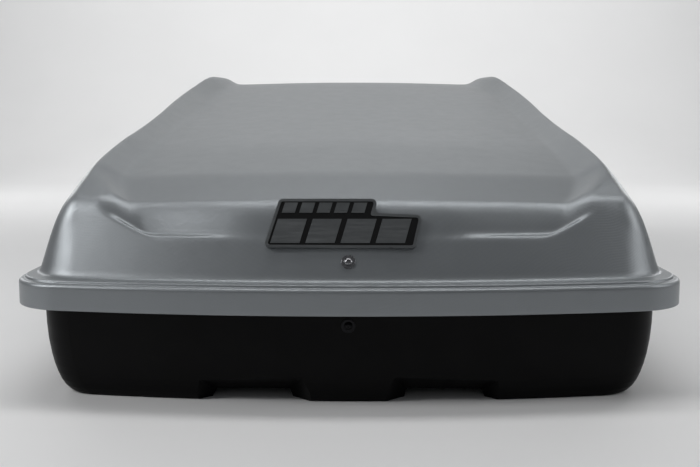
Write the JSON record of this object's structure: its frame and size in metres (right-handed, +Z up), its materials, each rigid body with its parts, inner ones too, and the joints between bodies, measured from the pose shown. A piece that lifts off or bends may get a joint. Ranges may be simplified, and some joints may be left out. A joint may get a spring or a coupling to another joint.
{
  "type": "roof cargo box",
  "caption": "Wedge-shaped hard-shell roof cargo box: textured lid hinged at the nose, black ridged tray, rear lock, folding lid stays and bar clamps.",
  "frame": {"origin": "centre of the footprint, on the plane under the tray's ridges", "axes": "+X to the right seen from the nose, +Y from the nose to the tail, +Z up"},
  "size_m": [0.945, 1.5996, 0.4817],
  "materials": {
    "lid_shell": "embossed satin, silver grey",
    "tray_shell": "smooth satin, black",
    "rubber": "matt",
    "zinc_steel": "zinc plated",
    "stainless": "bright",
    "black_screw": "black zinc",
    "aluminium": "mill",
    "black_plastic": "moulded",
    "lock_metal": "polished",
    "badge_black": "gloss",
    "badge_silver": "satin"
  },
  "bodies": {
    "base": {"tray": "tray_shell", "tray_seal": "rubber", "hinge_tray_leaf": "zinc_steel", "hinge_pin": "zinc_steel", "hinge_tray_screw": "black_screw", "hinge_tray_washer": "black_screw", "hinge_tray_nut": "zinc_steel", "clamp_plates": "zinc_steel", "stay_bracket_left": "zinc_steel", "stay_bracket_right": "zinc_steel", "stay_pivots": "stainless", "bracket_screws": "stainless", "lock_housing": "black_plastic", "lock_escutcheon": "black_plastic", "rod_guides": "black_plastic", "floor_brace_left": "aluminium", "floor_brace_right": "aluminium"},
    "lid": {"lid": "lid_shell", "hinge_lid_leaf": "zinc_steel", "hinge_lid_screw": "stainless", "hinge_lid_washer": "stainless", "hinge_lid_nut": "zinc_steel", "stay_track_left": "zinc_steel", "stay_track_right": "zinc_steel", "striker_left": "zinc_steel", "striker_right": "zinc_steel", "lid_brace_front": "black_plastic", "lid_brace_rear": "black_plastic", "badge_plate": "badge_black", "badge_rim": "badge_silver", "badge_bars": "badge_silver"},
    "stay_left": {"stay_arm_left": "aluminium", "stay_roller_left": "black_plastic"},
    "stay_right": {"stay_arm_right": "aluminium", "stay_roller_right": "black_plastic"},
    "lock": {"lock_cylinder": "lock_metal", "lock_pinion": "black_plastic"},
    "rod_left": {"lock_rod_left": "aluminium"},
    "rod_right": {"lock_rod_right": "aluminium"},
    "clamp_front_left": {"u_bolt_front_left": "zinc_steel"},
    "knob_front_left_a": {"knob_front_left_a": "black_plastic"},
    "knob_front_left_b": {"knob_front_left_b": "black_plastic"},
    "clamp_front_right": {"u_bolt_front_right": "zinc_steel"},
    "knob_front_right_a": {"knob_front_right_a": "black_plastic"},
    "knob_front_right_b": {"knob_front_right_b": "black_plastic"},
    "clamp_rear_left": {"u_bolt_rear_left": "zinc_steel"},
    "knob_rear_left_a": {"knob_rear_left_a": "black_plastic"},
    "knob_rear_left_b": {"knob_rear_left_b": "black_plastic"},
    "clamp_rear_right": {"u_bolt_rear_right": "zinc_steel"},
    "knob_rear_right_a": {"knob_rear_right_a": "black_plastic"},
    "knob_rear_right_b": {"knob_rear_right_b": "black_plastic"}
  },
  "joints": [
    {"name": "lid_hinge", "type": "hinge", "parent": "base", "child": "lid", "pos_m": [0, -0.788, 0.153], "axis": [1, 0, 0], "range_deg": [0, 30]},
    {"name": "stay_left_pivot", "type": "hinge", "parent": "base", "child": "stay_left", "pos_m": [-0.414, -0.268, 0.108], "axis": [1, 0, 0], "range_deg": [0, 75.24]},
    {"name": "stay_right_pivot", "type": "hinge", "parent": "base", "child": "stay_right", "pos_m": [0.414, -0.268, 0.108], "axis": [1, 0, 0], "range_deg": [0, 75.24]},
    {"name": "lock_turn", "type": "hinge", "parent": "base", "child": "lock", "pos_m": [0, 0.722, 0.105], "axis": [0, -1, 0], "range_deg": [0, 90]},
    {"name": "rod_right_slide", "type": "slide", "parent": "base", "child": "rod_right", "axis": [1, 0, 0], "range_m": [0, 0.0157]},
    {"name": "rod_left_slide", "type": "slide", "parent": "base", "child": "rod_left", "axis": [-1, 0, 0], "range_m": [0, 0.0157]},
    {"name": "clamp_front_left_slide", "type": "slide", "parent": "base", "child": "clamp_front_left", "axis": [0, 0, 1], "range_m": [-0.045, 0]},
    {"name": "knob_front_left_a_turn", "type": "hinge", "parent": "base", "child": "knob_front_left_a", "pos_m": [-0.3, -0.425, 0.052], "axis": [0, 0, 1], "continuous": true},
    {"name": "knob_front_left_b_turn", "type": "hinge", "parent": "base", "child": "knob_front_left_b", "pos_m": [-0.3, -0.335, 0.052], "axis": [0, 0, 1], "continuous": true},
    {"name": "clamp_front_right_slide", "type": "slide", "parent": "base", "child": "clamp_front_right", "axis": [0, 0, 1], "range_m": [-0.045, 0]},
    {"name": "knob_front_right_a_turn", "type": "hinge", "parent": "base", "child": "knob_front_right_a", "pos_m": [0.3, -0.425, 0.052], "axis": [0, 0, 1], "continuous": true},
    {"name": "knob_front_right_b_turn", "type": "hinge", "parent": "base", "child": "knob_front_right_b", "pos_m": [0.3, -0.335, 0.052], "axis": [0, 0, 1], "continuous": true},
    {"name": "clamp_rear_left_slide", "type": "slide", "parent": "base", "child": "clamp_rear_left", "axis": [0, 0, 1], "range_m": [-0.045, 0]},
    {"name": "knob_rear_left_a_turn", "type": "hinge", "parent": "base", "child": "knob_rear_left_a", "pos_m": [-0.3, 0.335, 0.052], "axis": [0, 0, 1], "continuous": true},
    {"name": "knob_rear_left_b_turn", "type": "hinge", "parent": "base", "child": "knob_rear_left_b", "pos_m": [-0.3, 0.425, 0.052], "axis": [0, 0, 1], "continuous": true},
    {"name": "clamp_rear_right_slide", "type": "slide", "parent": "base", "child": "clamp_rear_right", "axis": [0, 0, 1], "range_m": [-0.045, 0]},
    {"name": "knob_rear_right_a_turn", "type": "hinge", "parent": "base", "child": "knob_rear_right_a", "pos_m": [0.3, 0.335, 0.052], "axis": [0, 0, 1], "continuous": true},
    {"name": "knob_rear_right_b_turn", "type": "hinge", "parent": "base", "child": "knob_rear_right_b", "pos_m": [0.3, 0.425, 0.052], "axis": [0, 0, 1], "continuous": true}
  ],
  "couplings": [
    {"joint": "stay_left_pivot", "follows": "lid_hinge", "ratio": 2.5062},
    {"joint": "stay_right_pivot", "follows": "lid_hinge", "ratio": 2.5062},
    {"joint": "lock_turn", "follows": "rod_right_slide", "rad_per_m": 100},
    {"joint": "rod_left_slide", "follows": "rod_right_slide", "ratio": 1}
  ]
}
